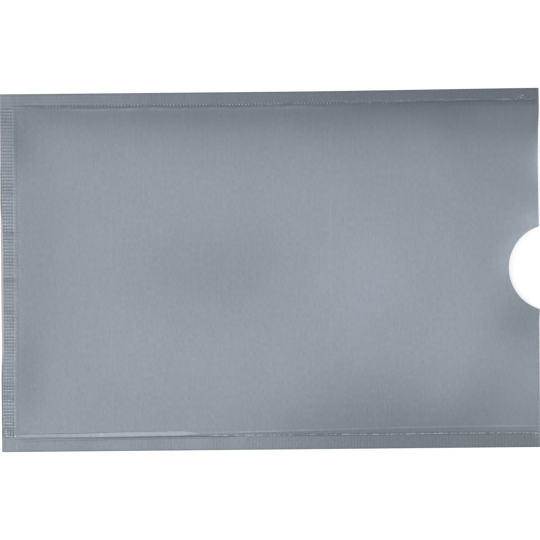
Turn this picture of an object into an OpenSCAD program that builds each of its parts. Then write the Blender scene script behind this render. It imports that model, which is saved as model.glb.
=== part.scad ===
// Card sleeve of foil laminate: two laminated walls, heat-sealed along both
// sides and the closed end, with a thumb notch punched in the open mouth.
// It lies on its rear wall. +X points out of the mouth and +Z is the front.
// All sizes are in millimetres.

/* [Sleeve] */
// Length from the closed end to the mouth
sleeve_length = 90; // [70:1:150]
// Width across the two side seals
sleeve_width = 60; // [45:1:110]

/* [Heat seals] */
// Width of the seal along each long side
side_seal_w = 2.3; // [1.5:0.1:6]
// Width of the seal across the closed end
end_seal_w = 2.2; // [1.5:0.1:6]
// Spacing of the ribs that the sealing bar presses into a seal
crimp_pitch = 0.55; // [0.45:0.05:1.5]
// Height of those ribs on the front wall
crimp_h = 0.05; // [0.03:0.01:0.12]
// Depth of the fainter grooves that show through on the rear wall
crimp_print_h = 0.01; // [0.005:0.001:0.015]

/* [Thumb notch] */
// Radius of the round punch that cuts the notch
notch_r = 7.2; // [6:0.1:12]
// Depth of the notch, from the mouth to its deepest point
notch_depth = 5.1; // [3:0.1:6]

/* [Laminate] */
// Thickness of the outer polyester film
polyester_t = 0.02; // [0.02:0.005:0.05]
// Thickness of the aluminium foil that blocks the radio field
foil_t = 0.02; // [0.01:0.005:0.05]
// Thickness of the inner film, which melts to make the seals
sealant_t = 0.07; // [0.04:0.01:0.12]

/* [Empty pocket] */
// Height of the empty pocket at its closed end
pocket_gap = 0.85; // [0.8:0.05:4]
// Height of the mouth in its middle
mouth_gap = 1.8; // [1:0.1:5]
// Distance from the mouth over which the pocket opens up
mouth_run = 40; // [10:1:60]
// Share of the height that the wall gains in the crease beside a seal
crease_share = 0.06; // [0.02:0.02:0.5]
// Distance over which the crease beside a seal fades out
crease_run = 0.2; // [0.1:0.05:1]
// Width of the wall's shoulder beside the closed end's seal
end_shoulder = 7; // [3:0.5:15]
// Width of the shoulder beside the upper seal
upper_shoulder = 5; // [3:0.5:15]
// Width of the shoulder beside the lower seal, at the closed end
lower_shoulder = 15; // [10:0.5:20]
// How much narrower that shoulder is at the mouth
lower_narrowing = 8; // [0:0.5:9]
// How much wider both side shoulders become right at the mouth
mouth_softening = 4.5; // [0:0.5:8]

/* [Hidden] */

wall_t = polyester_t + foil_t + sealant_t;
pocket_w = sleeve_width - 2 * side_seal_w;
pocket_l = sleeve_length - end_seal_w;
pocket_start_x = -sleeve_length / 2 + end_seal_w;
mouth_x = sleeve_length / 2;
notch_x = mouth_x - notch_depth + notch_r;
notch_half_angle = acos((notch_r - notch_depth) / notch_r);
notch_half_w = notch_r * sin(notch_half_angle);

// Heights of the layers in the flat rear wall and in the seals
rear_foil_z = polyester_t;
rear_sealant_z = rear_foil_z + foil_t;
front_sealant_z = wall_t;
front_foil_z = front_sealant_z + sealant_t;
front_polyester_z = front_foil_z + foil_t;

// Soft dents and swells in the front wall: centre and radii as shares of the
// pocket's length and width, and height as a share of the pocket's height
dents = [
    [0.03, -0.04, 0.12, 0.22, -0.3],
    [-0.27, 0.12, 0.14, 0.25, -0.2],
    [0.42, -0.25, 0.1, 0.2, 0.1]
];

// Distances from a seal at which the wall is drawn, close at the crease
crease_lines = [for (share = [0, 0.06, 0.16, 0.33, 0.58, 0.95, 1.45]) share * upper_shoulder];
length_steps = 16;
flank_steps = 3;
notch_steps = 12;

function steps(from, to, count) = [for (i = [1:count]) from + (to - from) * i / count];

// Lines along the sleeve, as distances from the closed end's seal
length_lines = concat(crease_lines, steps(crease_lines[len(crease_lines) - 1], pocket_l, length_steps));

// Lines across the sleeve, from the lower seal to the upper one
flank_lines = concat(
    crease_lines,
    steps(crease_lines[len(crease_lines) - 1], pocket_w / 2 - notch_half_w, flank_steps)
);
lower_lines = [for (d = flank_lines) d - pocket_w / 2];
notch_lines = [for (i = [1:notch_steps - 1]) notch_r * sin(notch_half_angle * (2 * i / notch_steps - 1))];
upper_lines = [for (i = [len(flank_lines) - 1:-1:0]) pocket_w / 2 - flank_lines[i]];
cross_lines = concat(lower_lines, notch_lines, upper_lines);

// Where the mouth is cut at a height y across the sleeve
function mouth_cut(y) = abs(y) < notch_half_w ? notch_x - sqrt(notch_r * notch_r - y * y) : mouth_x;

// How far the wall has risen in the crease at a distance from a seal, from 0 to 1
function crease(d) = 1 - exp(-max(d, 0) / crease_run);

// How far it has risen over a shoulder, steep at first or evenly rounded
function steep(d, run) = 1 - exp(-max(d, 0) / run);
function rounded(d, run) = (1 - exp(-2 * max(d, 0) / run)) / (1 + exp(-2 * max(d, 0) / run));

function rise(d, shoulder) = crease_share * crease(d) + (1 - crease_share) * shoulder;

// How near the mouth a point is, from 0 to 1 over the last fifth of the sleeve
function mouth_share(x) =
    let (t = min(1, max(0, 5 * (x - 0.3 * sleeve_length) / sleeve_length)))
    t * t * (3 - 2 * t);

// Shoulders of the wall beside the closed end, the upper seal and the lower one
function end_rise(d) = rise(d, steep(d, end_shoulder));
function upper_rise(d, x) = rise(d, steep(d, upper_shoulder + mouth_softening * mouth_share(x)));
function lower_rise(d, x) =
    let (run = lower_shoulder - lower_narrowing * (x / sleeve_length + 0.5) + mouth_softening * mouth_share(x))
    rise(d, rounded(d, run));

function bump(x, y, dent) =
    dent[4] * pocket_gap
    * exp(-pow((x / pocket_l - dent[0]) / dent[2], 2) - pow((y / pocket_w - dent[1]) / dent[3], 2));

function sum(list, i = 0) = i < len(list) ? list[i] + sum(list, i + 1) : 0;

// Height of the empty pocket at a point
function gap(x, y) =
    end_rise(x - pocket_start_x) * upper_rise(pocket_w / 2 - y, x) * lower_rise(pocket_w / 2 + y, x)
    * (pocket_gap + (mouth_gap - pocket_gap) * exp((x - mouth_x) / mouth_run)
        + sum([for (dent = dents) bump(x, y, dent)]));

// A sheet of the front wall between two heights, swollen by the pocket under it.
// A sheet with margins runs on through the seals to the cut edges.
module front_sheet(low_z, high_z, margins = true) {
    ys = margins ? concat([-sleeve_width / 2], cross_lines, [sleeve_width / 2]) : cross_lines;
    ds = margins ? concat([-end_seal_w], length_lines) : length_lines;
    nx = len(ds);
    ny = len(ys);
    function sheet_x(d, y) = pocket_start_x + (d <= 0 ? d : d * (mouth_cut(y) - pocket_start_x) / pocket_l);
    function grid(z) = [for (y = ys) for (d = ds) let (x = sheet_x(d, y)) [x, y, z + gap(x, y)]];
    n = nx * ny;
    function cell(a, b, c, d, up) = up ? [[a, d, c], [a, c, b]] : [[a, b, c], [a, c, d]];
    function skin(start, up) = [
        for (j = [0:ny - 2]) for (i = [0:nx - 2])
        let (a = start + j * nx + i)
        each cell(a, a + 1, a + nx + 1, a + nx, up)
    ];
    function wall(a, b) = [[a, a + n, b + n], [a, b + n, b]];
    polyhedron(
        points = concat(grid(low_z), grid(high_z)),
        faces = concat(
            skin(0, false),
            skin(n, true),
            [for (i = [0:nx - 2]) each wall(i, i + 1)],
            [for (i = [0:nx - 2]) each wall(n - 1 - i, n - 2 - i)],
            [for (j = [0:ny - 2]) each wall(j * nx + nx - 1, (j + 1) * nx + nx - 1)],
            [for (j = [0:ny - 2]) each wall((j + 1) * nx, j * nx)]
        )
    );
}

// Outline of the whole sleeve, with the notch punched out
module sleeve_outline() {
    difference() {
        square([sleeve_length, sleeve_width], center = true);
        translate([notch_x, 0]) circle(notch_r, $fn = 96);
    }
}

// Outline of the pocket between the seals, with the notch punched out
module pocket_outline() {
    difference() {
        translate([pocket_start_x, -pocket_w / 2]) square([pocket_l, pocket_w]);
        translate([notch_x, 0]) circle(notch_r, $fn = 96);
    }
}

module rear_sheet(low_z, thickness) {
    translate([0, 0, low_z]) linear_extrude(thickness) sleeve_outline();
}

// Side view of a row of ribs of height h, standing on a strip that is base thick
module rib_profile(run, base, h) {
    count = floor(run / crimp_pitch);
    start = (run - count * crimp_pitch) / 2;
    valley = 0.1 * h;
    polygon(concat(
        [[0, -base], [0, valley]],
        [for (i = [0:count]) each [
            [start + i * crimp_pitch, valley],
            if (i < count) [start + (i + 0.5) * crimp_pitch, h]
        ]],
        [[run, valley], [run, -base]]
    ));
}

// Ribs across all three seals, standing on the plane z = 0
module crimp_ribs(base, h) {
    for (y = [-sleeve_width / 2 + side_seal_w, sleeve_width / 2])
        translate([-sleeve_length / 2, y, 0]) rotate([90, 0, 0])
            linear_extrude(side_seal_w) rib_profile(sleeve_length, base, h);
    translate([-sleeve_length / 2, -pocket_w / 2, 0]) rotate([90, 0, 90])
        linear_extrude(end_seal_w) rib_profile(pocket_w, base, h);
}

// The melted films of both walls, fused into one strip
module side_seal(from_y) {
    color("gainsboro") translate([-sleeve_length / 2, from_y, rear_sealant_z])
        cube([sleeve_length, side_seal_w, 2 * sealant_t]);
}

module front_polyester_film() {
    color("lightslategray") {
        front_sheet(front_polyester_z, front_polyester_z + polyester_t);
        translate([0, 0, front_polyester_z + polyester_t]) crimp_ribs(polyester_t / 2, crimp_h);
    }
}

module front_aluminium_foil() {
    color("silver") front_sheet(front_foil_z, front_foil_z + foil_t);
}

module front_sealant_film() {
    color("gainsboro") front_sheet(front_sealant_z, front_sealant_z + sealant_t, margins = false);
}

module rear_sealant_film() {
    color("gainsboro") translate([0, 0, rear_sealant_z]) linear_extrude(sealant_t) pocket_outline();
}

module rear_aluminium_foil() {
    color("silver") rear_sheet(rear_foil_z, foil_t);
}

module rear_polyester_film() {
    color("lightslategray") difference() {
        rear_sheet(0, polyester_t);
        crimp_ribs(polyester_t, crimp_print_h);
    }
}

module upper_side_seal() {
    side_seal(pocket_w / 2);
}

module lower_side_seal() {
    side_seal(-sleeve_width / 2);
}

module closed_end_seal() {
    color("gainsboro") translate([-sleeve_length / 2, -pocket_w / 2, rear_sealant_z])
        cube([end_seal_w, pocket_w, 2 * sealant_t]);
}

front_polyester_film();
front_aluminium_foil();
front_sealant_film();
rear_sealant_film();
rear_aluminium_foil();
rear_polyester_film();
upper_side_seal();
lower_side_seal();
closed_end_seal();
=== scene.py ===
import math

import bmesh
import bpy
import numpy as np
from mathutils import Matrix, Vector


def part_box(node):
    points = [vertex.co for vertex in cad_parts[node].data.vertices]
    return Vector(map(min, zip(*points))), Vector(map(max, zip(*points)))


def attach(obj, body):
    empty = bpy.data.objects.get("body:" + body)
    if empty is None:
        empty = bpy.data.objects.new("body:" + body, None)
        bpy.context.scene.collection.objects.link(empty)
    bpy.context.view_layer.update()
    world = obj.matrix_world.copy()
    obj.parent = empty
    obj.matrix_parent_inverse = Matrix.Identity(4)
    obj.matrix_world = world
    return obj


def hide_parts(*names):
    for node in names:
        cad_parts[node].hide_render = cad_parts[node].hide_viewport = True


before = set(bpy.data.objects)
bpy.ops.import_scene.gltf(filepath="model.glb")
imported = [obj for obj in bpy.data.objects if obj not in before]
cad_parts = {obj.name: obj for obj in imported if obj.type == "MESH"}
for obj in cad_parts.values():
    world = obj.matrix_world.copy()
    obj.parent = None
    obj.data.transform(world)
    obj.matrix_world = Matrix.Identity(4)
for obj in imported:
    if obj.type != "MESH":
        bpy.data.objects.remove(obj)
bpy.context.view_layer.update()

MM = 0.001

# Sizes read from the frame, in metres
sleeve_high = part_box("rear_polyester_film")[1]
HALF_LENGTH = sleeve_high.x
HALF_WIDTH = sleeve_high.y
upper_low, upper_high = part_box("upper_side_seal")
SIDE_SEAL = upper_high.y - upper_low.y
end_low, end_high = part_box("closed_end_seal")
END_SEAL = end_high.x - end_low.x
inner_low, inner_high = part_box("rear_sealant_film")
REAR_INNER_LOW = inner_low.z
REAR_INNER_TOP = inner_high.z
FILM_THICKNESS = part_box("rear_aluminium_foil")[0].z
FOIL_THICKNESS = REAR_INNER_LOW - FILM_THICKNESS
FRONT_FOIL_LOW = end_high.z
FRONT_FILM_LOW = FRONT_FOIL_LOW + FOIL_THICKNESS
FRONT_FILM_TOP = FRONT_FILM_LOW + FILM_THICKNESS

POCKET_HALF_WIDTH = HALF_WIDTH - SIDE_SEAL
POCKET_START = -HALF_LENGTH + END_SEAL
POCKET_LENGTH = HALF_LENGTH - POCKET_START

# The notch
NOTCH_RADIUS = 7.2 * MM
NOTCH_DEPTH = 5.1 * MM
NOTCH_CENTRE = HALF_LENGTH - NOTCH_DEPTH + NOTCH_RADIUS
NOTCH_HALF_ANGLE = math.acos((NOTCH_RADIUS - NOTCH_DEPTH) / NOTCH_RADIUS)
NOTCH_HALF_WIDTH = NOTCH_RADIUS * math.sin(NOTCH_HALF_ANGLE)

# The pocket's height away from the mouth and at it, and the length over which it grows
POCKET_GAP = 0.85 * MM
MOUTH_GAP = 1.8 * MM
MOUTH_RUN = 40 * MM
# Dents and swells, as shares of the pocket: place along, across, reach along, across, and height
DENTS = (
    (0.03, -0.04, 0.12, 0.22, -0.30),
    (-0.27, 0.12, 0.14, 0.25, -0.20),
    (0.42, -0.25, 0.10, 0.20, 0.10),
)

# Shoulders, over which the front wall rises from the seals
END_SHOULDER = 8 * MM
UPPER_SHOULDER = 5 * MM
LOWER_SHOULDER_AT_END = 15 * MM
LOWER_SHOULDER_AT_MOUTH = 7 * MM
# The shoulders grow softer towards the mouth
MOUTH_EASE = 18 * MM
MOUTH_SOFTENING = 4.5 * MM
# The closed end's shoulder has a steeper part in its upper corner
CORNER_SHARE = 0.8
CORNER_SHOULDER = 3 * MM
CORNER_WIDTH = 14 * MM
# The lower shoulder has a steeper part, from and to a place along it and with soft ends, in mm
STEP_SHARE = 0.45
STEP_SHOULDER = 6 * MM
STEP_REACH = (0, 34, 10)

# Where the film is creased, beside the pocket's long edges
UPPER_CREASE = POCKET_HALF_WIDTH + 0.32 * MM
LOWER_CREASE = -POCKET_HALF_WIDTH - 0.06 * MM
LOWER_CREASE_SHIFT = 0.18 * MM
CREASE_HEIGHT = 0.05 * MM
CREASE_START = 1.5 * MM
UPPER_CREASE_RUN = 0.13 * MM
LOWER_CREASE_RUN = 0.28 * MM
LOWER_CREASE_EXTRA = 0.05 * MM
LOWER_EXTRA_RUN = 12 * MM
# How far the side seals lean, at the closed end and at the mouth
SEAL_LEAN_AT_END = 0.04
SEAL_LEAN_AT_MOUTH = 0.08

# Pitches of the sealing bar's ribs, of the beads on them and of the faint grid beside them, in mm
RIB_PITCH = 0.547
BEAD_PITCH = 0.45
GRID_PITCH = 0.43
# Heights of the fine forms on the walls' outsides, in mm
RIB_HEIGHT = 0.030
CROSS_RIB_HEIGHT = 0.007
END_RIB_HEIGHT = 0.028
END_BEAD_HEIGHT = 0.016
STROKE_HEIGHT = 0.022
GRID_HEIGHT = 0.010
END_FOLD_HEIGHT = 0.028
LEDGE_HEIGHT = 0.034
MOTTLE_HEIGHT = 0.022
CRINKLE_HEIGHT = 0.09
SECOND_RIDGE_HEIGHT = 0.016
REAR_RIB_HEIGHT = 0.009
# The film is turned down along its cut edges: how far, and over which width, in mm
EDGE_DROP = 0.018
EDGE_WIDTH = 0.09

# Soft spots of the film: place along, across, reach along, across, in mm, and strength
CRINKLED_SPOTS = (
    (42.3, 28.6, 0.9, 0.5, 1),
    (44.4, -28.0, 0.5, 0.7, 1),
)
RUBBED_SPOTS = (
    (43.6, 7.4, 3.4, 2.4, 0.7),
    (18, 0, 12, 8, 0.2),
)
# Dull spots, which are also painted darker as painted shade
DULL_SHADED_SPOTS = (
    (42, -8.5, 4.5, 4.0, 0.30),
    (17, -23, 13, 7, 0.28),
    (-41, -18, 3, 8, 0.22),
    (-9, 1, 12, 7, 0.13),
)

# Beads along the upper seal: half the row's length, middles and reach of the runs of large ones, in mm
BEAD_ROW_HALF = 41
BEAD_RUNS = (-20, 1)
BEAD_RUN_REACH = 6
SMALLEST_BEAD = 0.15
BEAD_FLARE = 0.05 * MM
BEAD_DEPTH = 0.08 * MM
BEAD_SINK = 0.01 * MM
# Small flat-topped crinkles in the corners: place along, place across and radius, in mm
CORNER_CRINKLES = (
    (44.85, 27.95, 0.13),
    (42.5, 28.85, 0.10),
    (42.2, 28.50, 0.09),
    (41.8, 28.70, 0.08),
    (41.4, 28.25, 0.09),
    (42.9, 28.55, 0.07),
    (40.6, 28.10, 0.07),
    (44.60, -27.70, 0.12),
    (44.2, -27.68, 0.09),
    (43.7, -27.70, 0.07),
    (44.5, -28.30, 0.09),
    (44.45, -28.80, 0.06),
    (44.45, -29.20, 0.06),
    (44.45, -29.60, 0.05),
    (-44.45, -26.50, 0.09),
    (-44.40, -26.85, 0.09),
    (-44.30, -27.20, 0.10),
    (-42.90, -27.35, 0.12),
    (-42.90, -28.60, 0.05),
    (-42.90, -29.20, 0.05),
)
CORNER_CRINKLE_DEPTH = 0.10 * MM
BEAD_POLISH = 0.85

# Strips of film along the seals: the step along them in mm, and how far they go down into the wall
STRIP_STEP = 0.12
STRIP_SINK = 0.02 * MM
# From and to which place each strip runs, in mm, and how far it is polished
RIDGE_REACH = (-18, 44.9)
FOLD_REACH = (-43.4, -10)
CRINKLE_REACH = (8, 44.9)
RIDGE_POLISH = 0.6
FOLD_POLISH = 0.30
CRINKLE_POLISH = 0.22
# Cross-section of the fold inside the lower seal: place across and height, in mm
FOLD_SHAPE = ((-0.40, -0.01), (-0.30, 0.040), (-0.05, 0.046), (0.20, 0.046), (0.42, 0.042), (0.62, 0.0))
FOLD_PLACE = 0.57
FOLD_STROKE_PITCH = 0.5


def steps(start, end, count):
    """Evenly spaced values from start, which is left out, to end."""
    return [start + (end - start) * (i + 1) / count for i in range(count)]


def smooth(t):
    """A soft step from 0 at t = 0 to 1 at t = 1."""
    t = np.clip(t, 0, 1)
    return t * t * (3 - 2 * t)


def rise(t, start, end):
    """A soft step from 0 at start to 1 at end, which may be the lower of the two."""
    return smooth((t - start) / (end - start))


def between(t, start, end, soft):
    """1 from start to end and 0 beyond them, with soft ends."""
    return smooth((t - start) / soft + 0.5) * smooth((end - t) / soft + 0.5)


def ridge(d, width):
    """Cross-section of a rounded ridge whose top is at d = 0."""
    return np.exp(-((d / width) ** 2))


def wave(t, pitch):
    """An even wave between 0 and 1, whose crests are a pitch apart, with one at t = 0."""
    return 0.5 + 0.5 * np.cos(2 * np.pi * t / pitch)


def wander(t, seed):
    """Smooth noise from 0 to 1, with one new value at each whole t."""
    table = np.random.RandomState(seed).rand(512)
    cell = np.floor(t).astype(int)
    f = smooth(t - cell)
    return table[cell % 512] * (1 - f) + table[(cell + 1) % 512] * f


def soft_spots(mm_x, mm_y, spots):
    """Each soft spot's strength at the given places."""
    return [
        strength * ridge(mm_x - along, reach_along) * ridge(mm_y - across, reach_across)
        for along, across, reach_along, reach_across, strength in spots
    ]


def steep(d, run):
    """Height of a shoulder at a distance from a seal, from 0 to 1, steep at first."""
    return 1 - np.exp(-np.maximum(d, 0) / run)


def rounded(d, run):
    """The same for an evenly rounded shoulder."""
    return np.tanh(np.maximum(d, 0) / run)


def eased(d, run):
    """The same for a shoulder that starts out flat."""
    return 1 - np.exp(-((np.maximum(d, 0) / run) ** 1.5))


def lower_crease(x):
    """Where the film is creased beside the lower seal: nearer the edge towards the closed end."""
    return LOWER_CREASE - LOWER_CREASE_SHIFT * (1 - rise(x / MM, -38, -12))


def mouth_cut(y):
    """Where the mouth is cut at a place y across the sleeve."""
    chord = np.sqrt(np.maximum(NOTCH_RADIUS**2 - y * y, 0))
    return np.where(np.abs(y) < NOTCH_HALF_WIDTH, NOTCH_CENTRE - chord, HALF_LENGTH)


def lip(x, y):
    """How far the mouth's edge is bent up, above the notch, and down, below it."""
    mm_y = y / MM
    from_cut = np.minimum(x - mouth_cut(y), 0) / MM
    from_end = np.minimum(x - HALF_LENGTH, 0) / MM
    # A sharp bend at the cut, a soft one behind it, and a swell in the upper half
    sharp = 0.07 * between(mm_y, 7, 24, 5) * np.exp(from_cut / 1.2)
    soft = 0.10 * between(mm_y, 5, 14, 5) - 0.09 * between(mm_y, -18, -4, 6)
    swell = 0.24 * ridge(mm_y - 22.5, 4.5) * np.exp(from_end / 7)
    return (sharp + soft * np.exp(from_end / 2.5) + swell) * MM


def creases(x, y):
    """Narrow creases beside the side seals, as heights."""
    mm_x = x / MM
    upper = (y - POCKET_HALF_WIDTH) / MM
    lower = (y - lower_crease(x)) / MM
    # Beside the upper seal: a wandering crease with a softer one inside it, and a thin crease
    bend = 0.32 + 0.20 * (wander(mm_x / 2.3, 23) - 0.5)
    depth = 0.080 * ridge(upper - bend, 0.19) * rise(mm_x, 4, 18)
    depth = depth + 0.045 * ridge(upper - bend + 0.30, 0.30) * rise(mm_x, 12, 26)
    depth = depth + 0.020 * ridge(upper - 0.20, 0.14) * between(mm_x, -40, 8, 8)
    # Beside the lower seal, along the fold
    depth = depth + 0.070 * ridge(lower + 0.06, 0.15) * between(mm_x, -42, -6, 5)
    return -depth * MM


def seal_heights(x, y, lean):
    """Height of the side seals, which lean outwards, and of the creased film beside them."""
    share = (x + HALF_LENGTH) / (2 * HALF_LENGTH)
    seal = np.minimum(HALF_WIDTH - np.abs(y), SIDE_SEAL) * np.clip((x + HALF_LENGTH) / END_SEAL, 0, 1)
    extra = LOWER_CREASE_EXTRA * (2 * rise(share, 0.2, 0.7) - 1)
    inside = y - lower_crease(x)
    upper = CREASE_HEIGHT * steep(UPPER_CREASE - y, UPPER_CREASE_RUN)
    lower = (CREASE_HEIGHT + extra) * steep(inside, LOWER_CREASE_RUN)
    lower = lower - extra * rise(inside, 0, LOWER_EXTRA_RUN)
    return lean * seal + np.where(y > 0, upper, lower) * steep(x - POCKET_START, CREASE_START)


def shoulders(x, y):
    """Share of the pocket's height that the front wall has, from 0 at the seals to 1."""
    share = (x + HALF_LENGTH) / (2 * HALF_LENGTH)
    ease = MOUTH_SOFTENING * rise(x, HALF_LENGTH - MOUTH_EASE, HALF_LENGTH)
    from_end = x - POCKET_START
    from_upper = POCKET_HALF_WIDTH - y
    from_lower = POCKET_HALF_WIDTH + y
    corner = CORNER_SHARE * (1 - rise(from_upper, 0, CORNER_WIDTH))
    end = (1 - corner) * eased(from_end, END_SHOULDER) + corner * steep(from_end, CORNER_SHOULDER)
    step = STEP_SHARE * between(x / MM, *STEP_REACH)
    run = LOWER_SHOULDER_AT_END + (LOWER_SHOULDER_AT_MOUTH - LOWER_SHOULDER_AT_END) * share + ease
    lower = (1 - step) * rounded(from_lower, run) + step * rounded(from_lower, STEP_SHOULDER)
    return end * steep(from_upper, UPPER_SHOULDER + ease) * lower


def wall_height(x, y):
    """How far the front wall stands over where it would lie flat."""
    share = (x + HALF_LENGTH) / (2 * HALF_LENGTH)
    height = POCKET_GAP + (MOUTH_GAP - POCKET_GAP) * np.exp((x - HALF_LENGTH) / MOUTH_RUN)
    for along, across, reach_along, reach_across, part in DENTS:
        u = (x / POCKET_LENGTH - along) / reach_along
        v = (y / (2 * POCKET_HALF_WIDTH) - across) / reach_across
        height = height + part * POCKET_GAP * np.exp(-u * u - v * v)

    # The seals lean and the film is creased beside them, so the shoulders start higher
    lean = SEAL_LEAN_AT_END + (SEAL_LEAN_AT_MOUTH - SEAL_LEAN_AT_END) * share
    start = lean * SIDE_SEAL + CREASE_HEIGHT
    swelled_part = (height - start + lip(x, y)) * shoulders(x, y)
    return swelled_part + seal_heights(x, y, lean) + creases(x, y)


def front_inset(y):
    """How far the front wall's edge stands back at the closed end, where the rear wall shows."""
    mm_y = y / MM
    low = 0.34 * between(mm_y, -14.5, 9.0, 5.0)
    high = 0.12 * rise(mm_y, 16, 20)
    return (low + high + 0.03 * wander(mm_y / 3, 12)) * MM


def mouth_inset(y):
    """The same at the mouth, below the notch."""
    return 0.14 * MM * rise(y / MM, -7.5, -9.5)


def cut_shift(x, y):
    """How far a point is moved because the cut edges aren't quite straight."""
    mm_x, mm_y = x / MM, y / MM
    upper_edge = 0.27 * rise(mm_x, 0, 55) - 0.12
    closed_end = -0.10 * rise(mm_y, -12, -18) * rise(mm_x, -35, -43)
    mouth = 0.22 * rise(mm_y, 22, 27) - 0.08 * between(mm_y, 8, 20, 5)
    across = upper_edge * np.clip(y / HALF_WIDTH, 0, 1)
    along = closed_end + mouth * rise(mm_x, 37, 45)
    return along * MM, across * MM


def seal_masks(x, y):
    """Where a wall is crimped, from 0 to 1: along the side seals, and across the closed end."""
    side = rise((np.abs(y) - POCKET_HALF_WIDTH) / MM, -0.15, 0.10)
    end = rise((POCKET_START - x) / MM, -0.21, 0.09) * (1 - side)
    return side, end


def side_ribs(mm_x, mm_y, side):
    """Heights of the side seals' ribs, which come and go along them."""
    strength = 0.25 + 0.75 * wander(mm_x / 3.1, 3)
    along = RIB_HEIGHT * strength * wave(mm_x, RIB_PITCH)
    across = CROSS_RIB_HEIGHT * wave(mm_y, RIB_PITCH) * wander(mm_x / 7, 4)
    return side * (along + across)


def end_ribs(mm_x, mm_y, side, end):
    """Heights and shine of the closed end's ribs and beads, with what fades into the pocket."""
    from_pocket = POCKET_START / MM - mm_x
    strength = 0.45 + 0.7 * wander(mm_y / 2.3, 5)
    beads = wave(from_pocket - 0.2, BEAD_PITCH)
    patch = 0.5 + wander(mm_y / 1.1 + 3 * wander(mm_x / 0.6, 15), 16)
    ragged = 0.8 + 0.4 * wander(mm_y / 0.9 + 2 * wander(mm_x / 0.5, 21), 22)
    ragged = ragged * (1 + 0.3 * rise(mm_y, -12, -20) + 0.25 * rise(mm_y, 6, 14))
    ribs = end * strength * wave(mm_y, RIB_PITCH)
    height = ribs * ragged * (END_RIB_HEIGHT + END_BEAD_HEIGHT * beads * patch)

    # The shine of the beads runs together towards the cut edge
    beads = 1 + (beads - 1) * (1 - 0.5 * rise(from_pocket, 0.7, 1.3))
    shine = 0.45 + 0.60 * beads * patch * (1 - 0.7 * rise(mm_y, 19, 24))
    shine = ribs * shine * (1 + 0.8 * rise(mm_y, -18, -26))

    # A column of slanting strokes beside the pocket
    column = ridge(from_pocket + 0.02, 0.16) * (1 - side) * (0.2 + 0.8 * wander(mm_y / 1.4, 48))
    strokes = column * wave(mm_y + 0.8 * mm_x, RIB_PITCH)

    # A faint grid that fades into the pocket
    faint = ridge(np.minimum(from_pocket, 0), 1.3) * (1 - end) * (1 - side)
    grid = np.cos(2 * np.pi * mm_y / RIB_PITCH) + 0.6 * np.cos(2 * np.pi * mm_x / GRID_PITCH)
    height = height + STROKE_HEIGHT * strokes + GRID_HEIGHT * faint * strength * grid
    return height, 0.9 * shine + 0.4 * strokes


def end_fold(mm_x, mm_y):
    """Heights of a small fold across the closed end's seal."""
    fold = ridge(mm_y + 1.2, 0.13) - 0.8 * ridge(mm_y + 1.5, 0.13)
    return END_FOLD_HEIGHT * fold * rise(mm_x, -41, -43.5)


def upper_ledge(mm_x, mm_y):
    """Heights and shine of the mottled ledge inside the upper seal's crease."""
    from_seal = mm_y - POCKET_HALF_WIDTH / MM
    ledge = between(mm_x, -36, 10, 16) * (0.6 + 0.4 * wander(mm_x / 2.6, 7))
    ledge = ledge * ridge(from_seal + 0.10 + 0.2 * wander(mm_x / 5, 40), 0.38)
    mottled = wander(mm_x / 0.35 + 2 * wander(mm_y / 0.4, 44), 45)
    return (LEDGE_HEIGHT + MOTTLE_HEIGHT * mottled) * ledge, 0.2 * mottled * ledge


def mouth_crinkles(mm_x, mm_y):
    """Crinkles in both corners of the mouth, from 0 to 1."""
    patch = sum(soft_spots(mm_x, mm_y, CRINKLED_SPOTS))
    patch = patch + 0.6 * ridge(mm_x - 44.3, 0.16) * rise(mm_y, -28.3, -28.8)
    coarse = wander(mm_x / 0.33 + 2 * wander(mm_y / 0.5, 41), 42)
    return patch * coarse * wander(mm_y / 0.25 + mm_x / 0.9, 43)


def second_ridge(mm_x, mm_y):
    """A second, fainter ridge beside the lower seal's, from 0 to 1."""
    into_seal = -POCKET_HALF_WIDTH / MM - mm_y
    spread = 0.45 + 0.6 * rise(mm_x, -16, 34)
    broken = between(mm_x, -12, 60, 8) * (0.4 + 0.6 * wander(mm_x / 2.1, 10))
    return ridge(into_seal + 0.10 + spread, 0.14) * broken


def cut_edge(from_edge):
    """1 on a cut edge and less beside it, for a distance from it in metres."""
    return np.exp(-np.maximum(from_edge / MM, 0) / EDGE_WIDTH)


def rubbed(mm_x, mm_y):
    """Where fingers rub the film bright, beside the notch and along the mouth."""
    from_mouth = mouth_cut(mm_y * MM) / MM - mm_x
    beside_notch = 0.8 * ridge(from_mouth, 2.2) * between(mm_y, -1, 9, 4)
    along_mouth = 1.2 * np.exp(-from_mouth / 1.1) * between(mm_y, 14.5, 27, 4)
    return np.max([beside_notch, along_mouth] + soft_spots(mm_x, mm_y, RUBBED_SPOTS), axis=0)


def dulled_and_shaded(mm_x, mm_y):
    """Where the film between the seals is dull, and painted darker as painted shade."""
    corner = 0.35 * ridge(mm_x + 45, 8) * rise(mm_y, 12, 24)
    from_seal = mm_y - POCKET_HALF_WIDTH / MM
    beside_seal = 0.45 * rise(from_seal, -2.4, -0.6) * rise(mm_x, 5, 30)
    return sum(soft_spots(mm_x, mm_y, DULL_SHADED_SPOTS)) + corner + beside_seal


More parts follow.
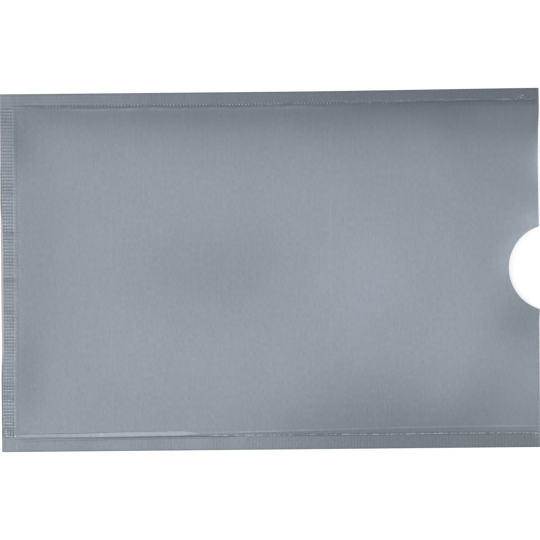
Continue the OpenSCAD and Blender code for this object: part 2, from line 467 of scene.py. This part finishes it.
def front_relief(x, y):
    """Fine forms of the front wall's outside, as heights, and its masks, from 0 to 1."""
    mm_x, mm_y = x / MM, y / MM
    side, end = seal_masks(x, y)
    ribs, ribs_shine = end_ribs(mm_x, mm_y, side, end)
    ledge, ledge_shine = upper_ledge(mm_x, mm_y)
    crinkles = mouth_crinkles(mm_x, mm_y)
    second = second_ridge(mm_x, mm_y)
    edge = cut_edge(np.minimum(HALF_WIDTH - np.abs(y), x + HALF_LENGTH))
    height = side_ribs(mm_x, mm_y, side) + ribs + end_fold(mm_x, mm_y) + ledge
    height = height + CRINKLE_HEIGHT * crinkles + SECOND_RIDGE_HEIGHT * second - EDGE_DROP * edge

    # The seals are crimped more towards the mouth, and painted darker there as painted shade
    lower_press = 0.03 + 0.62 * rise(mm_x, -14, 28)
    upper_press = 0.1 + 0.9 * rise(mm_x, -48, 47)
    end_press = 0.10 * rise(mm_y, -26, -18) + 0.14 * rise(mm_y, 14, 26)
    crimp_and_shade = side * np.where(y < 0, lower_press, upper_press) + end * end_press
    shine = ribs_shine + ledge_shine + crinkles + 0.4 * second
    # The crimp mask also paints the seals and the dull spots darker, as painted shade
    masks = {
        "polish": np.clip(shine + 0.35 * rubbed(mm_x, mm_y), 0, 1),
        "crimp_and_shade": np.clip(crimp_and_shade + dulled_and_shaded(mm_x, mm_y) * (1 - side) * (1 - end), 0, 1),
        "edge": edge,
    }
    return height * MM, masks


def rear_relief(x, y):
    """Fine forms of the rear wall's outside: the sealing bar's ribs show through as faint grooves."""
    side, end = seal_masks(x, y)
    ribs = side * wave(x / MM, RIB_PITCH) + end * wave(y / MM, RIB_PITCH)
    from_edge = np.minimum(np.minimum(HALF_WIDTH - np.abs(y), x + HALF_LENGTH), mouth_cut(y) - x)
    # The rear's seals are painted slightly darker, a painted shade
    masks = {"crimp_and_shade": 0.3 * (side + end), "edge": cut_edge(from_edge)}
    return REAR_RIB_HEIGHT * MM * ribs, masks


# Lines of the walls' grids. A band has the creases beside a seal, where the outer films are finer.
LOWER_BAND = 1.6 * MM
UPPER_BAND = 0.8 * MM
SEAL_ROWS = 3
FINE_SEAL_ROWS = 22
LOWER_BAND_ROWS = 2
FINE_LOWER_BAND_ROWS = 8
FLANK_ROWS = 22
NOTCH_ROWS = 28
LENGTH_STEPS = 102
BAND_CUTS = 7
MOUTH_STRIP = 0.15 * MM
# Edges that bend by more than this stay sharp
SHARP_ANGLE = math.radians(50)

band_end = -POCKET_HALF_WIDTH + LOWER_BAND
lower_seal_lines = [-HALF_WIDTH] + steps(-HALF_WIDTH, LOWER_CREASE, SEAL_ROWS - 1) + [-POCKET_HALF_WIDTH]
upper_seal_lines = [POCKET_HALF_WIDTH, UPPER_CREASE] + steps(UPPER_CREASE, HALF_WIDTH, SEAL_ROWS - 1)
end_seal_lines = [-HALF_LENGTH] + steps(-HALF_LENGTH, POCKET_START, SEAL_ROWS)
inner_y_lines = steps(band_end, -NOTCH_HALF_WIDTH, FLANK_ROWS)
inner_y_lines += [NOTCH_RADIUS * math.sin(NOTCH_HALF_ANGLE * t) for t in steps(-1, 1, NOTCH_ROWS)]
inner_y_lines += steps(inner_y_lines[-1], POCKET_HALF_WIDTH - UPPER_BAND, FLANK_ROWS)
inner_y_lines += [POCKET_HALF_WIDTH]
pocket_y_lines = [-POCKET_HALF_WIDTH] + steps(-POCKET_HALF_WIDTH, band_end, LOWER_BAND_ROWS) + inner_y_lines
pocket_x_lines = [POCKET_START, POCKET_START + UPPER_BAND]
pocket_x_lines += steps(pocket_x_lines[-1], HALF_LENGTH - MOUTH_STRIP, LENGTH_STEPS) + [HALF_LENGTH]
ALL_X = end_seal_lines + pocket_x_lines[1:]
ALL_Y = lower_seal_lines + pocket_y_lines[1:] + upper_seal_lines[1:]
# The layers under the outer film have no finer faces, so they get more lines across the seals
fine_lower_lines = [-HALF_WIDTH] + steps(-HALF_WIDTH, -POCKET_HALF_WIDTH, FINE_SEAL_ROWS)
fine_upper_lines = [POCKET_HALF_WIDTH] + steps(POCKET_HALF_WIDTH, HALF_WIDTH, FINE_SEAL_ROWS)
fine_pocket_lines = [-POCKET_HALF_WIDTH] + steps(-POCKET_HALF_WIDTH, band_end, FINE_LOWER_BAND_ROWS)
fine_pocket_lines += inner_y_lines
FINE_Y = fine_lower_lines + fine_pocket_lines[1:] + fine_upper_lines[1:]


def flat(height):
    """A layer's face that lies flat at a height, as the rear wall does."""
    return height, 0


def swelled(height):
    """A layer's face that follows the front wall, and would lie at a height if that were flat."""
    return height, 1


def refine_bands(bm, side):
    """Make the faces on the grid's upper side, 1, or lower side, 0, finer over the seals and bands."""
    chosen = {}
    for face in bm.faces:
        place = face.calc_center_median()
        over_pocket = band_end < place.y < POCKET_HALF_WIDTH - UPPER_BAND
        over_pocket = over_pocket and place.x > POCKET_START + UPPER_BAND
        if abs(place.z - side) < 0.1 and not over_pocket:
            chosen.update(dict.fromkeys(face.edges))
    bmesh.ops.subdivide_edges(bm, edges=list(chosen), cuts=BAND_CUTS, use_grid_fill=True)


def coordinates(mesh):
    """The places of a mesh's vertices, as rows of an array."""
    values = np.empty(len(mesh.vertices) * 3)
    mesh.vertices.foreach_get("co", values)
    return values.reshape(-1, 3)


def place_piece(piece):
    """Put a finished piece into the scene, on the sleeve's only body."""
    bpy.context.scene.collection.objects.link(piece)
    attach(piece, "root")


def layer(name, xs, ys, bottom, top, relief=None, outside=1):
    """A closed sheet between two faces, drawn on lines along and across the sleeve.

    With relief, its outside, which is its top or, with outside=0, its bottom, gets fine forms
    and masks, and is finer over the seals.
    """
    bm = bmesh.new()
    bmesh.ops.create_grid(bm, x_segments=len(xs) - 1, y_segments=len(ys) - 1, size=0.5)
    for v in bm.verts:
        i = round((v.co.x + 0.5) * (len(xs) - 1))
        j = round((v.co.y + 0.5) * (len(ys) - 1))
        v.co = (xs[i], ys[j], 0)
    bm.normal_update()
    raised = bmesh.ops.extrude_face_region(bm, geom=bm.faces[:])["geom"]
    bmesh.ops.translate(bm, vec=(0, 0, 1), verts=[g for g in raised if isinstance(g, bmesh.types.BMVert)])
    if relief:
        refine_bands(bm, outside)
    bmesh.ops.recalc_face_normals(bm, faces=bm.faces[:])
    mesh = bpy.data.meshes.new(name)
    bm.to_mesh(mesh)
    bm.free()

    x, y, side = coordinates(mesh).T
    on_top = side > 0.5
    follows_front = np.where(on_top, top[1], bottom[1])
    cut = mouth_cut(y) - follows_front * mouth_inset(y)
    x = x - np.maximum(x - POCKET_START, 0) / POCKET_LENGTH * (HALF_LENGTH - cut)
    inset = np.maximum(on_top, follows_front) * front_inset(y)
    x = x + inset * np.clip((POCKET_START - x) / END_SEAL, 0, 1)
    z = np.where(on_top, top[0], bottom[0]) + follows_front * wall_height(x, y)
    if relief:
        fine, masks = relief(x, y)
        is_outside = on_top == bool(outside)
        z = z + np.where(is_outside, fine, 0)
        for label, mask in masks.items():
            values = np.where(is_outside, mask, 0)
            mesh.attributes.new(label, "FLOAT", "POINT").data.foreach_set("value", values)
    along, across = cut_shift(x, y)
    mesh.vertices.foreach_set("co", np.stack([x + along, y + across, z], 1).ravel())
    mesh.update()
    mesh.shade_smooth()
    mesh.set_sharp_from_angle(angle=SHARP_ANGLE)
    piece = bpy.data.objects.new(name, mesh)
    place_piece(piece)
    return piece


class Graph:
    """A material's node tree, with short ways to add and link nodes."""

    def __init__(self, tree):
        self.tree = tree

    def add(self, kind, **settings):
        """A new node with the given settings."""
        node = self.tree.nodes.new(kind)
        for key, value in settings.items():
            setattr(node, key, value)
        return node

    def put(self, socket, value):
        """A socket's value: another socket, which is linked, or a constant."""
        if isinstance(value, bpy.types.NodeSocket):
            self.tree.links.new(value, socket)
        else:
            socket.default_value = value

    def math(self, operation, *values, clamp=False):
        """Result of a calculation with sockets or constants."""
        node = self.add("ShaderNodeMath", operation=operation, use_clamp=clamp)
        for socket, value in zip(node.inputs, values):
            self.put(socket, value)
        return node.outputs[0]

    def remap(self, value, low, high, to_low, to_high):
        """A value carried over from one range to another, and kept within it."""
        node = self.add("ShaderNodeMapRange")
        for socket, given in zip(node.inputs, (value, low, high, to_low, to_high)):
            self.put(socket, given)
        return node.outputs["Result"]

    def stretched_noise(self, place, scale, detail=2.0, rough=0.5):
        """Noise with its own scale along, across and up."""
        mapping = self.add("ShaderNodeMapping")
        self.put(mapping.inputs["Vector"], place)
        self.put(mapping.inputs["Scale"], scale)
        noise = self.add("ShaderNodeTexNoise")
        self.put(noise.inputs["Vector"], mapping.outputs["Vector"])
        self.put(noise.inputs["Scale"], 1.0)
        self.put(noise.inputs["Detail"], detail)
        self.put(noise.inputs["Roughness"], rough)
        return noise.outputs["Fac"]

    def red(self, colour):
        """The red part of a colour."""
        node = self.add("ShaderNodeSeparateColor")
        self.put(node.inputs[0], colour)
        return node.outputs[0]

    def call(self, tree, **values):
        """Outputs of a node group with the given inputs."""
        node = self.add("ShaderNodeGroup", node_tree=tree)
        for socket, value in values.items():
            self.put(node.inputs[socket], value)
        return node.outputs

    def attribute(self, name):
        """A mask that the piece carries."""
        node = self.add("ShaderNodeAttribute", attribute_name=name)
        return node.outputs["Fac"]

    def mix(self, factor, a, b):
        """A colour between a and b."""
        node = self.add("ShaderNodeMix", data_type="RGBA", blend_type="MIX")
        self.put(node.inputs["Factor"], factor)
        self.put(node.inputs["A"], a)
        self.put(node.inputs["B"], b)
        return node.outputs["Result"]


def group(name, inputs, outputs):
    """An empty node group: its inputs are given as (name, kind, value), its outputs as (name, kind)."""
    tree = bpy.data.node_groups.new(name, "ShaderNodeTree")
    for label, kind, value in inputs:
        socket = tree.interface.new_socket(label, in_out="INPUT", socket_type=kind)
        if value is not None:
            socket.default_value = value
    for label, kind in outputs:
        tree.interface.new_socket(label, in_out="OUTPUT", socket_type=kind)
    graph = Graph(tree)
    return graph, graph.add("NodeGroupInput").outputs, graph.add("NodeGroupOutput").inputs


VECTOR, FLOAT, COLOR = "NodeSocketVector", "NodeSocketFloat", "NodeSocketColor"
SURFACE_OUTPUTS = (("Color", COLOR), ("Roughness", FLOAT), ("Height", FLOAT))

# Colours and roughness of the metallised film
FILM_TINTS = ((0.252, 0.285, 0.319, 1), (0.247, 0.278, 0.318, 1))
# Painted shade: the film is painted darker along its cut edges
EDGE_SHADE_TINT = (0.12, 0.125, 0.135, 1)
# Painted shade: crimped seals and dull spots are painted darker by this share
PAINTED_CRIMP_SHADE = 0.88
FILM_ROUGHNESS = 0.424
CRIMPED_ROUGHNESS = 0.60
POLISHED_DROP = 0.2
# Roller lines across the film: place along it, in metres, and strength
ROLLER_LINES = ((-0.0266, 0.09), (-0.0182, 0.06), (0.0102, 0.09))
ROLLER_LINE_WIDTH = 0.00011
# Colours of the foil and of the inner film
FOIL_TINTS = ((0.74, 0.75, 0.77, 1), (0.84, 0.84, 0.86, 1))
DULL_FOIL_TINT = (0.62, 0.63, 0.66, 1)
MILKY_TINTS = ((0.66, 0.67, 0.72, 1), (0.76, 0.77, 0.80, 1))
MILKY_GRAIN_TINT = (0.58, 0.58, 0.64, 1)
SCUFF_TINT = (0.88, 0.88, 0.90, 1)


def roller_line_group():
    """A faint straight line that a roller leaves across the film, at one place along it."""
    graph, given, made = group(
        "roller_line",
        (("Place", VECTOR, None), ("Position", FLOAT, 0.0), ("Width", FLOAT, 0.0001), ("Seed", FLOAT, 0.0)),
        (("Mask", FLOAT),),
    )
    parts = graph.add("ShaderNodeSeparateXYZ")
    graph.put(parts.inputs[0], given["Place"])
    off = graph.math("ABSOLUTE", graph.math("SUBTRACT", parts.outputs["X"], given["Position"]))
    line = graph.math("SUBTRACT", 1.0, graph.math("DIVIDE", off, given["Width"]), clamp=True)
    shifted = graph.add("ShaderNodeCombineXYZ")
    graph.put(shifted.inputs["X"], given["Seed"])
    graph.put(shifted.inputs["Y"], parts.outputs["Y"])
    broken = graph.stretched_noise(shifted.outputs[0], (1, 160, 1), 3.0, 0.6)
    graph.put(made["Mask"], graph.math("MULTIPLY", line, graph.remap(broken, 0.35, 0.6, 0, 1)))
    return graph.tree


def speck_group():
    """Small round specks, one in some of the cells of a net."""
    graph, given, made = group(
        "specks",
        (("Place", VECTOR, None), ("Scale", FLOAT, 900.0), ("Size", FLOAT, 0.08), ("Share", FLOAT, 0.3)),
        (("Mask", FLOAT),),
    )
    cells = graph.add("ShaderNodeTexVoronoi", voronoi_dimensions="2D")
    graph.put(cells.inputs["Vector"], given["Place"])
    graph.put(cells.inputs["Scale"], given["Scale"])
    chosen = graph.math("LESS_THAN", graph.red(cells.outputs["Color"]), given["Share"])
    off = graph.math("DIVIDE", cells.outputs["Distance"], given["Size"])
    dot = graph.math("SUBTRACT", 1.0, off, clamp=True)
    graph.put(made["Mask"], graph.math("MULTIPLY", dot, chosen))
    return graph.tree


def film_group():
    """Surface of the metallised outer film: grain, haze, roller lines, specks, crimps, painted shade over
    the crimped seals and dull spots, and painted shade along the cut edges.
    """
    graph, given, made = group(
        "metallised_film",
        (("Place", VECTOR, None), ("CrimpAndShade", FLOAT, 0.0), ("Polish", FLOAT, 0.0), ("Edge", FLOAT, 0.0)),
        SURFACE_OUTPUTS,
    )
    place = given["Place"]
    grain = graph.stretched_noise(place, (3600, 1250, 1), 3.0, 0.6)
    fine = graph.stretched_noise(place, (5600, 4600, 1), 2.0, 0.6)
    streak = graph.stretched_noise(place, (2400, 220, 1), 2.0, 0.5)
    cloud = graph.stretched_noise(place, (90, 60, 1), 2.0, 0.5)
    speck = graph.call(SPECKS, Place=place, Scale=700.0, Size=0.10, Share=0.22)["Mask"]
    pit = graph.call(SPECKS, Place=place, Scale=1130.0, Size=0.12, Share=0.2)["Mask"]

    value = graph.remap(grain, 0.3, 0.7, 0.955, 1.045)
    value = graph.math("ADD", value, graph.remap(fine, 0.3, 0.7, -0.035, 0.035))
    value = graph.math("ADD", value, graph.remap(streak, 0.35, 0.65, -0.018, 0.018))
    value = graph.math("ADD", value, graph.remap(cloud, 0.35, 0.65, -0.02, 0.02))
    for position, strength in ROLLER_LINES:
        line = graph.call(
            ROLLER_LINE, Place=place, Position=position, Width=ROLLER_LINE_WIDTH, Seed=position * 1000
        )
        value = graph.math("MULTIPLY_ADD", line["Mask"], strength, value)
    value = graph.math("MULTIPLY_ADD", speck, 0.12, value)
    value = graph.math("MULTIPLY_ADD", pit, -0.08, value)
    # Painted shade: crimped seals and dull spots are painted darker
    value = graph.math("MULTIPLY", value, graph.remap(given["CrimpAndShade"], 0, 1, 1, PAINTED_CRIMP_SHADE))
    scaled = graph.add("ShaderNodeVectorMath", operation="SCALE")
    graph.put(scaled.inputs[0], graph.mix(cloud, *FILM_TINTS))
    graph.put(scaled.inputs["Scale"], value)
    # Painted shade: the film is painted darker along its cut edges, in cloudy patches
    edge_shade = graph.math("MULTIPLY", given["Edge"], graph.remap(cloud, 0.3, 0.7, 0.35, 0.7))
    graph.put(made["Color"], graph.mix(edge_shade, scaled.outputs[0], EDGE_SHADE_TINT))

    rough = graph.remap(given["CrimpAndShade"], 0, 1, FILM_ROUGHNESS, CRIMPED_ROUGHNESS)
    rough = graph.math("ADD", rough, graph.remap(grain, 0.3, 0.7, 0.012, -0.012))
    rough = graph.math("MULTIPLY_ADD", speck, -0.05, rough)
    graph.put(made["Roughness"], graph.math("MULTIPLY_ADD", given["Polish"], -POLISHED_DROP, rough))
    height = graph.math("MULTIPLY_ADD", fine, 0.4, grain)
    height = graph.math("MULTIPLY_ADD", speck, 0.8, height)
    graph.put(made["Height"], graph.math("MULTIPLY_ADD", pit, -0.8, height))
    return graph.tree


def foil_group():
    """Surface of the rolled foil: fine lines along the rolling direction and dull patches."""
    graph, given, made = group("rolled_foil", (("Place", VECTOR, None),), SURFACE_OUTPUTS)
    lines = graph.stretched_noise(given["Place"], (120, 9000, 3000), 3.0, 0.6)
    patch = graph.stretched_noise(given["Place"], (260, 180, 1), 3.0, 0.55)
    colour = graph.mix(lines, *FOIL_TINTS)
    graph.put(made["Color"], graph.mix(graph.remap(patch, 0.45, 0.75, 0, 0.5), colour, DULL_FOIL_TINT))
    rough = graph.remap(patch, 0.3, 0.7, 0.30, 0.42)
    rough = graph.math("ADD", rough, graph.remap(lines, 0, 1, -0.03, 0.03))
    graph.put(made["Roughness"], rough)
    graph.put(made["Height"], lines)
    return graph.tree


def inner_group():
    """Surface of the milky inner film: haze over the foil, and scuffs where the card slides."""
    graph, given, made = group(
        "milky_film", (("Place", VECTOR, None), ("Scuffs", FLOAT, 1.0)), SURFACE_OUTPUTS
    )
    haze = graph.stretched_noise(given["Place"], (140, 190, 1), 4.0, 0.6)
    grain = graph.stretched_noise(given["Place"], (4200, 4200, 4200), 2.0, 0.6)
    scuff = graph.stretched_noise(given["Place"], (35, 5200, 1), 3.0, 0.65)
    scuff = graph.math("MULTIPLY", graph.remap(scuff, 0.55, 0.72, 0, 1), given["Scuffs"])
    colour = graph.mix(graph.math("MULTIPLY", grain, 0.25), graph.mix(haze, *MILKY_TINTS), MILKY_GRAIN_TINT)
    graph.put(made["Color"], graph.mix(graph.math("MULTIPLY", scuff, 0.5), colour, SCUFF_TINT))
    rough = graph.math("ADD", graph.remap(haze, 0.3, 0.7, 0.38, 0.50), graph.math("MULTIPLY", scuff, 0.12))
    graph.put(made["Roughness"], rough)
    graph.put(made["Height"], graph.math("ADD", grain, graph.math("MULTIPLY", scuff, -1.2)))
    return graph.tree


def surface(name, tree, metallic, bump, inputs=(), masks=()):
    """A material whose colour, roughness and bump come from a node group."""
    material = bpy.data.materials.new(name)
    material.use_nodes = True
    graph = Graph(material.node_tree)
    shader = graph.tree.nodes["Principled BSDF"]
    shader.inputs["Metallic"].default_value = metallic
    values = dict(inputs)
    for socket, mask in masks:
        values[socket] = graph.attribute(mask)
    made = graph.call(tree, Place=graph.add("ShaderNodeTexCoord").outputs["Object"], **values)
    graph.put(shader.inputs["Base Color"], made["Color"])
    graph.put(shader.inputs["Roughness"], made["Roughness"])
    relief = graph.add("ShaderNodeBump")
    relief.inputs["Strength"].default_value = 1.0
    relief.inputs["Distance"].default_value = bump
    graph.put(relief.inputs["Height"], made["Height"])
    graph.put(shader.inputs["Normal"], relief.outputs["Normal"])
    return material


# Depth of the bumps, in metres
METAL_BUMP = 1.0e-6
MILKY_BUMP = 1.5e-6

ROLLER_LINE = roller_line_group()
SPECKS = speck_group()
FILM = surface(
    "satin_metallised_film", film_group(), 1.0, METAL_BUMP,
    masks=(("CrimpAndShade", "crimp_and_shade"), ("Polish", "polish"), ("Edge", "edge")),
)
FOIL = surface("rolled_aluminium_foil", foil_group(), 1.0, METAL_BUMP)
MILKY = inner_group()
INNER = surface("milky_inner_film", MILKY, 0.5, MILKY_BUMP)
FUSED = surface("melted_inner_film", MILKY, 0.0, MILKY_BUMP, inputs=(("Scuffs", 0.0),))


def build(name, node, material, xs, ys, bottom, top, relief=None, outside=1):
    """A layer that takes the place of one of the frame's nodes."""
    piece = layer(name, xs, ys, bottom, top, relief, outside)
    piece.data.materials.append(material)
    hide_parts(node)


def film_top(x, y):
    """Height of the front wall's outside, without its fine relief."""
    return FRONT_FILM_TOP + float(wall_height(x, y))


def finish_piece(name, bm, polish):
    """A piece of the outer film made from bm, polished all over by the given amount."""
    bmesh.ops.recalc_face_normals(bm, faces=bm.faces[:])
    mesh = bpy.data.meshes.new(name)
    bm.to_mesh(mesh)
    bm.free()
    values = np.full(len(mesh.vertices), polish)
    mesh.attributes.new("polish", "FLOAT", "POINT").data.foreach_set("value", values)
    mesh.materials.append(FILM)
    piece = bpy.data.objects.new(name, mesh)
    place_piece(piece)


def add_bead(bm, x, y, z, radius, depth):
    """Add a small flat-topped bead whose middle is at a place."""
    ring = bmesh.ops.create_cone(
        bm, cap_ends=True, segments=8, radius1=radius + BEAD_FLARE, radius2=radius, depth=depth
    )["verts"]
    bmesh.ops.translate(bm, verts=ring, vec=(x, y, z))


def seal_beads():
    """The row of beads that the sealing bar's edge leaves along the upper seal, and corner crinkles."""
    bm = bmesh.new()
    for mm_x in np.arange(-BEAD_ROW_HALF, BEAD_ROW_HALF, RIB_PITCH):
        runs = sum(ridge(mm_x - middle, BEAD_RUN_REACH) for middle in BEAD_RUNS)
        size = between(mm_x, -36, 20, 10) * (0.35 + 0.45 * wander(mm_x / 0.9, 6) + 0.40 * runs)
        if size > SMALLEST_BEAD:
            x = mm_x * MM
            y = UPPER_CREASE - (0.11 + 0.04 * wander(mm_x / 2.3, 13)) * MM
            radius = (0.04 + 0.09 * size) * MM
            across = cut_shift(x, y)[1]
            add_bead(bm, x, y + across, film_top(x, y) - BEAD_SINK, radius, BEAD_DEPTH)
    for mm_x, mm_y, size in CORNER_CRINKLES:
        x, y = mm_x * MM, mm_y * MM
        add_bead(bm, x, y, film_top(x, y), size * MM, CORNER_CRINKLE_DEPTH)
    finish_piece("upper_seal_beads", bm, BEAD_POLISH)


def film_strip(name, reach, profile, polish):
    """A thin strip of film along the sleeve.

    For a place along it, profile gives the strip's cross-section as (y, height) pairs, in mm,
    where each height counts from the front wall's outside.
    """
    bm = bmesh.new()
    section = None
    start, end = reach
    count = round((end - start) / STRIP_STEP)
    for i in range(count + 1):
        mm_x = start + (end - start) * i / count
        x = mm_x * MM
        points = profile(mm_x)
        middle = 0.5 * (points[0][0] + points[-1][0]) * MM
        across = cut_shift(x, middle)[1]
        base = film_top(x, middle)
        row = [(x, y * MM + across, base + height * MM) for y, height in points]
        row += [(x, y, min(z, base) - STRIP_SINK) for _, y, z in (row[-1], row[0])]
        if section:
            grown = bmesh.ops.extrude_face_region(bm, geom=[section, *section.edges])["geom"]
            section = next(part for part in grown if isinstance(part, bmesh.types.BMFace))
            for v, place in zip(section.verts, row):
                v.co = place
        else:
            section = bm.faces.new([bm.verts.new(place) for place in row])
    finish_piece(name, bm, polish)


def ridge_profile(mm_x):
    """The ridge of film squeezed up along the lower seal, broken into runs."""
    broken = 0.15 + 0.35 * wander(mm_x / 1.1, 9) + 0.5 * wander(mm_x / 0.3, 36)
    broken = broken * rise(mm_x, -18, -6)
    y = LOWER_CREASE / MM + 0.16 + 0.08 * wander(mm_x / 6, 14)
    crest = 0.016 + 0.012 * broken
    sunk = -0.045 * (1 - broken)
    spread = 0.5 + 0.5 * broken
    shape = ((-0.11, -0.012), (-0.05, crest), (0.05, crest), (0.11, -0.005))
    return [(y + d * spread, height + sunk) for d, height in shape]


def fold_profile(mm_x):
    """The wrinkled fold inside the lower seal near the closed end."""
    size = between(mm_x, -43.3, -13, 5) * (0.80 + 0.20 * wander(mm_x / 2.4, 30))
    y = lower_crease(mm_x * MM) / MM + FOLD_PLACE
    sunk = -0.06 * (1 - size)
    spread = size * (0.82 + 0.38 * rise(mm_x, -38, -24))
    proud = 0.6 + 0.4 * rise(mm_x, -42, -30)
    stroke = 0.007 + 0.005 * (1 - rise(mm_x, -37, -29))
    points = []
    for d, height in FOLD_SHAPE:
        # Slanting strokes cross the fold's top, and leave its two edges as they are
        slant = mm_x + 0.55 * d + 0.3 * wander(mm_x / 0.9, 31)
        wrinkle = stroke * wave(slant, FOLD_STROKE_PITCH) if height > 0 else 0
        points.append((y + d * spread, height * proud + wrinkle + sunk))
    return points


def crinkle_profile(mm_x):
    """The crinkled edge of the upper seal near the mouth."""
    size = (0.1 + 0.9 * wander(mm_x / 0.28, 33)) * (0.3 + 0.7 * wander(mm_x / 2.6, 34))
    size = size * rise(mm_x, 8, 18)
    y = UPPER_CREASE / MM + 0.04 + 0.24 * wander(mm_x / 1.9, 35)
    crest = 0.028 + 0.020 * size
    sunk = -0.045 * (1 - size)
    spread = 0.6 + 0.8 * wander(mm_x / 0.9, 37)
    shape = ((-0.10, -0.01), (-0.05, crest), (0.03, crest), (0.10, -0.01))
    return [(y + d * spread, height + sunk) for d, height in shape]


# The front wall
build(
    "front_outer_film", "front_polyester_film", FILM, ALL_X, ALL_Y,
    swelled(FRONT_FILM_LOW), swelled(FRONT_FILM_TOP), front_relief,
)
seal_beads()
film_strip("lower_seal_ridge", RIDGE_REACH, ridge_profile, RIDGE_POLISH)
film_strip("lower_seal_fold", FOLD_REACH, fold_profile, FOLD_POLISH)
film_strip("upper_seal_crinkles", CRINKLE_REACH, crinkle_profile, CRINKLE_POLISH)
build(
    "front_foil", "front_aluminium_foil", FOIL, ALL_X, FINE_Y,
    swelled(FRONT_FOIL_LOW), swelled(FRONT_FILM_LOW),
)
build(
    "front_inner_film", "front_sealant_film", INNER, pocket_x_lines, fine_pocket_lines,
    swelled(REAR_INNER_TOP), swelled(FRONT_FOIL_LOW),
)

# The seals
build(
    "upper_seal_strip", "upper_side_seal", FUSED, ALL_X, fine_upper_lines,
    flat(REAR_INNER_LOW), swelled(FRONT_FOIL_LOW),
)
build(
    "lower_seal_strip", "lower_side_seal", FUSED, ALL_X, fine_lower_lines,
    flat(REAR_INNER_LOW), swelled(FRONT_FOIL_LOW),
)
build(
    "end_seal_strip", "closed_end_seal", FUSED, end_seal_lines, fine_pocket_lines,
    flat(REAR_INNER_LOW), swelled(FRONT_FOIL_LOW),
)

# The rear wall
build(
    "rear_inner_film", "rear_sealant_film", INNER, pocket_x_lines, pocket_y_lines,
    flat(REAR_INNER_LOW), flat(REAR_INNER_TOP),
)
build(
    "rear_foil", "rear_aluminium_foil", FOIL, ALL_X, ALL_Y,
    flat(FILM_THICKNESS), flat(REAR_INNER_LOW),
)
build(
    "rear_outer_film", "rear_polyester_film", FILM, ALL_X, ALL_Y,
    flat(0), flat(FILM_THICKNESS), rear_relief, 0,
)


def white_paint():
    """The floor's paint, seen pure white by the camera and in reflections."""
    material = bpy.data.materials.new("white_floor")
    material.use_nodes = True
    graph = Graph(material.node_tree)
    sockets = graph.tree.nodes["Principled BSDF"].inputs
    sockets["Base Color"].default_value = (0.9, 0.9, 0.9, 1)
    sockets["Roughness"].default_value = 1.0
    sockets["Specular IOR Level"].default_value = 0
    sockets["Emission Color"].default_value = (1, 1, 1, 1)
    ray = graph.add("ShaderNodeLightPath").outputs
    seen = graph.math("ADD", ray["Is Camera Ray"], ray["Is Glossy Ray"], clamp=True)
    seen = graph.math("ADD", seen, ray["Is Transmission Ray"], clamp=True)
    graph.put(sockets["Emission Strength"], graph.math("MULTIPLY", seen, 0.5))
    return material


# Floor, a hair's breadth under the sleeve
FLOOR_SIZE = 6
FLOOR_HEIGHT = -0.02 * MM
bpy.ops.mesh.primitive_plane_add(size=FLOOR_SIZE, location=(0, 0, FLOOR_HEIGHT))
floor = bpy.context.object
floor.name = "floor"
floor.data.materials.append(white_paint())

# An even white room
ROOM_STRENGTH = 0.57
world = bpy.data.worlds.new("studio")
bpy.context.scene.world = world
world.use_nodes = True
world.node_tree.nodes["Background"].inputs["Color"].default_value = (1, 1, 1, 1)
world.node_tree.nodes["Background"].inputs["Strength"].default_value = ROOM_STRENGTH


def softbox(name, place, size, radiance):
    """A rectangular lamp that faces the origin, with the brightness of its face."""
    data = bpy.data.lights.new(name, "AREA")
    data.shape = "RECTANGLE"
    data.size, data.size_y = size
    data.energy = radiance * math.pi * size[0] * size[1]
    lamp = bpy.data.objects.new(name, data)
    bpy.context.scene.collection.objects.link(lamp)
    lamp.location = place
    lamp.rotation_mode = "QUATERNION"
    lamp.rotation_quaternion = (-Vector(place)).to_track_quat("-Z", "Y")
    lamp.visible_camera = False


KEY_PLACE = (-0.08, -0.08, 1.2)
KEY_SIZE = (0.45, 0.40)
KEY_RADIANCE = 3.04
softbox("key_softbox", KEY_PLACE, KEY_SIZE, KEY_RADIANCE)

# Camera straight above, at the photograph's angle
PHOTO_WIDTH_PIXELS = 540
PIXELS_PER_MM = 5.975
PHOTO_SHIFT_PIXELS = 0.35
PHOTO_TURN_DEGREES = -0.55
CAMERA_HEIGHT = 0.9
frame_width = PHOTO_WIDTH_PIXELS / PIXELS_PER_MM * MM
camera_data = bpy.data.cameras.new("camera")
camera_data.lens = camera_data.sensor_width * CAMERA_HEIGHT / frame_width
camera = bpy.data.objects.new("camera", camera_data)
bpy.context.scene.collection.objects.link(camera)
camera.location = (0, PHOTO_SHIFT_PIXELS / PIXELS_PER_MM * MM, CAMERA_HEIGHT)
camera.rotation_euler = (0, 0, math.radians(PHOTO_TURN_DEGREES))
bpy.context.scene.camera = camera

bpy.context.scene.view_settings.view_transform = "Standard"
